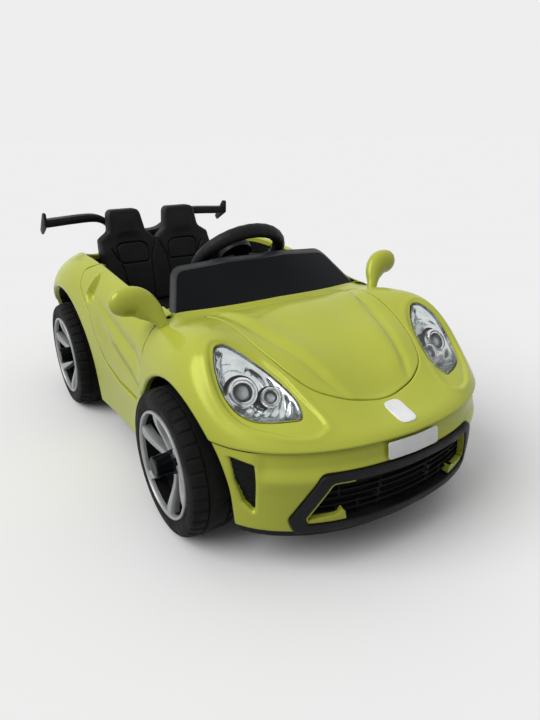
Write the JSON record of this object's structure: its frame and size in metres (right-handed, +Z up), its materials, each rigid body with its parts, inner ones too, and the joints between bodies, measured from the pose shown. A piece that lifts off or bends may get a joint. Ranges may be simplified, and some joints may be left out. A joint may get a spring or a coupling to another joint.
{
  "type": "electric ride-on car",
  "caption": "Child's electric ride-on roadster with opening doors, linked steering, spinning wheels, bench seat and sprung pedal.",
  "frame": {"origin": "on the ground under the middle of the car's outer box", "axes": "+Z up, front of the car towards -Y, its left side towards +X"},
  "size_m": [0.57, 1.007, 0.415],
  "materials": {
    "lime_gloss": "gloss",
    "black_plastic": "satin",
    "black_gloss": "gloss",
    "white_gloss": "gloss",
    "clear_lens": "clear",
    "lamp_chrome": "polished",
    "lamp_white": "gloss",
    "red_lens": "gloss",
    "mirror_face": "polished",
    "steel": "satin",
    "battery_case": "satin",
    "red_button": "gloss",
    "tyre_rubber": "matte",
    "silver_plastic": "satin"
  },
  "bodies": {
    "chassis": {"upper_body": "lime_gloss", "front_bumper": "lime_gloss", "rear_bumper": "lime_gloss", "hood": "lime_gloss", "mirror_left": "lime_gloss", "mirror_right": "lime_gloss", "floor_pan": "black_plastic", "grille_frame": "black_plastic", "grille_mesh": "black_plastic", "side_intakes": "black_plastic", "dashboard": "black_plastic", "seat_base": "black_plastic", "seat_back": "black_plastic", "spoiler": "black_plastic", "gearboxes": "black_plastic", "control_box": "black_plastic", "charge_socket": "black_plastic", "windshield": "black_gloss", "number_plate": "white_gloss", "nose_badge": "white_gloss", "headlight_lens_left": "clear_lens", "headlight_lens_right": "clear_lens", "headlight_bucket_left": "lamp_chrome", "headlight_bucket_right": "lamp_chrome", "headlight_lamps_left": "lamp_white", "headlight_lamps_right": "lamp_white", "tail_lights": "red_lens", "mirror_glass_left": "mirror_face", "mirror_glass_right": "mirror_face", "rear_axle": "steel", "front_beam": "steel", "kingpins": "steel", "motors": "steel", "floor_screws": "steel", "battery": "battery_case"},
    "steering": {"steering_wheel": "black_plastic", "steering_pad": "black_plastic", "steering_column": "steel"},
    "horn_left": {"horn_button_left": "red_button"},
    "horn_right": {"horn_button_right": "red_button"},
    "knuckle_left": {"knuckle_left": "steel"},
    "knuckle_right": {"knuckle_right": "steel"},
    "tie_rod": {"tie_rod": "steel"},
    "door_left": {"door_left": "lime_gloss"},
    "door_right": {"door_right": "lime_gloss"},
    "pedal": {"pedal": "black_plastic"},
    "drive_switch": {"drive_switch": "red_button"},
    "power_button": {"power_button": "red_button"},
    "wheel_front_left": {"tyre_front_left": "tyre_rubber", "rim_front_left": "silver_plastic", "hub_cap_front_left": "black_plastic"},
    "wheel_front_right": {"tyre_front_right": "tyre_rubber", "rim_front_right": "silver_plastic", "hub_cap_front_right": "black_plastic"},
    "wheel_rear_left": {"tyre_rear_left": "tyre_rubber", "rim_rear_left": "silver_plastic", "hub_cap_rear_left": "black_plastic"},
    "wheel_rear_right": {"tyre_rear_right": "tyre_rubber", "rim_rear_right": "silver_plastic", "hub_cap_rear_right": "black_plastic"}
  },
  "joints": [
    {"name": "steering_turn", "type": "hinge", "parent": "chassis", "child": "steering", "pos_m": [0, -0.0314, 0.344], "axis": [0, 0.7071, 0.7071], "range_deg": [-30, 30]},
    {"name": "horn_left_press", "type": "slide", "parent": "steering", "child": "horn_left", "axis": [0, -0.7071, -0.7071], "range_m": [0, 0.0015], "stiffness_N_per_m": 400, "springref_m": -0.0005},
    {"name": "knuckle_left_turn", "type": "hinge", "parent": "chassis", "child": "knuckle_left", "pos_m": [0.2, -0.2664, 0.112], "axis": [0, 0, 1], "range_deg": [-15, 15]},
    {"name": "wheel_front_left_spin", "type": "hinge", "parent": "knuckle_left", "child": "wheel_front_left", "pos_m": [0.2325, -0.2664, 0.112], "axis": [1, 0, 0], "continuous": true},
    {"name": "wheel_rear_left_spin", "type": "hinge", "parent": "chassis", "child": "wheel_rear_left", "pos_m": [0.2325, 0.2656, 0.112], "axis": [1, 0, 0], "continuous": true},
    {"name": "door_left_swing", "type": "hinge", "parent": "chassis", "child": "door_left", "pos_m": [0.23, -0.1844, 0.243], "axis": [0, 0, -1], "range_deg": [0, 40]},
    {"name": "horn_right_press", "type": "slide", "parent": "steering", "child": "horn_right", "axis": [0, -0.7071, -0.7071], "range_m": [0, 0.0015], "stiffness_N_per_m": 400, "springref_m": -0.0005},
    {"name": "knuckle_right_turn", "type": "hinge", "parent": "chassis", "child": "knuckle_right", "pos_m": [-0.2, -0.2664, 0.112], "axis": [0, 0, 1], "range_deg": [-15, 15]},
    {"name": "wheel_front_right_spin", "type": "hinge", "parent": "knuckle_right", "child": "wheel_front_right", "pos_m": [-0.2325, -0.2664, 0.112], "axis": [1, 0, 0], "continuous": true},
    {"name": "wheel_rear_right_spin", "type": "hinge", "parent": "chassis", "child": "wheel_rear_right", "pos_m": [-0.2325, 0.2656, 0.112], "axis": [1, 0, 0], "continuous": true},
    {"name": "door_right_swing", "type": "hinge", "parent": "chassis", "child": "door_right", "pos_m": [-0.23, -0.1844, 0.243], "axis": [0, 0, 1], "range_deg": [0, 40]},
    {"name": "tie_rod_swing", "type": "hinge", "parent": "knuckle_right", "child": "tie_rod", "pos_m": [-0.2, -0.2264, 0.12072], "axis": [0, 0, 1], "range_deg": [-15, 15]},
    {"name": "pedal_press", "type": "hinge", "parent": "chassis", "child": "pedal", "pos_m": [-0.075, -0.0364, 0.08], "axis": [1, 0, 0], "range_deg": [0, 12], "stiffness_Nm_per_rad": 0.6, "springref_deg": -8.59},
    {"name": "drive_switch_rock", "type": "hinge", "parent": "chassis", "child": "drive_switch", "pos_m": [0.09144, -0.0584, 0.303], "axis": [1, 0, 0], "range_deg": [-8, 8]},
    {"name": "power_button_press", "type": "slide", "parent": "chassis", "child": "power_button", "axis": [0, -1, 0], "range_m": [0, 0.002], "stiffness_N_per_m": 300, "springref_m": -0.0005}
  ],
  "couplings": [
    {"joint": "knuckle_left_turn", "follows": "steering_turn", "ratio": 0.5},
    {"joint": "knuckle_right_turn", "follows": "steering_turn", "ratio": 0.5},
    {"joint": "tie_rod_swing", "follows": "steering_turn", "ratio": -0.5}
  ]
}
